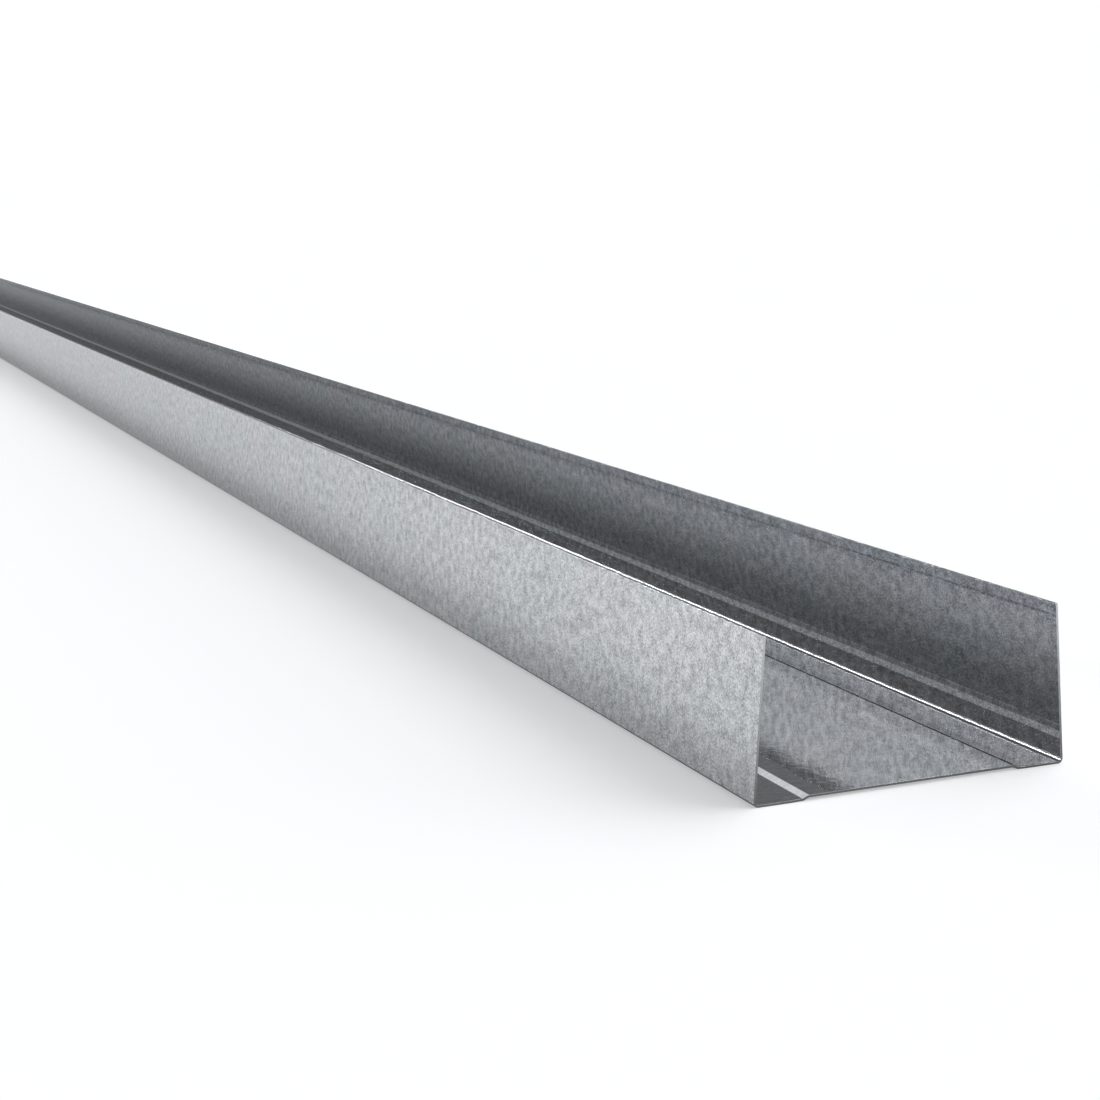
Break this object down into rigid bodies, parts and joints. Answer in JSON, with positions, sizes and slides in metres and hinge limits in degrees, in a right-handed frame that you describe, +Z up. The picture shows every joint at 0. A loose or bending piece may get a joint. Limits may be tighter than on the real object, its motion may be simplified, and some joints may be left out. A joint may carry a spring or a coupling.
{
  "type": "metal stud track",
  "caption": "Straight U-shaped track of thin galvanised sheet, with leaning flanges and a raised web panel, for a floor or ceiling line of studs.",
  "frame": {"origin": "the middle of the length and of the width, on the floor that the web lies on", "axes": "+X along the length, +Y across the web from the near flange to the far one, +Z up, the way the flanges stand"},
  "size_m": [3.048, 0.0668, 0.0317],
  "materials": {
    "galvanised_sheet": "Hot-dip galvanised sheet that mirrors its surroundings softly, with a fine grain in short streaks across the strip, neutral to slightly blue grey, and bare sheared edges."
  },
  "bodies": {
    "root": {"stud_track": "galvanised_sheet"}
  },
  "joints": []
}
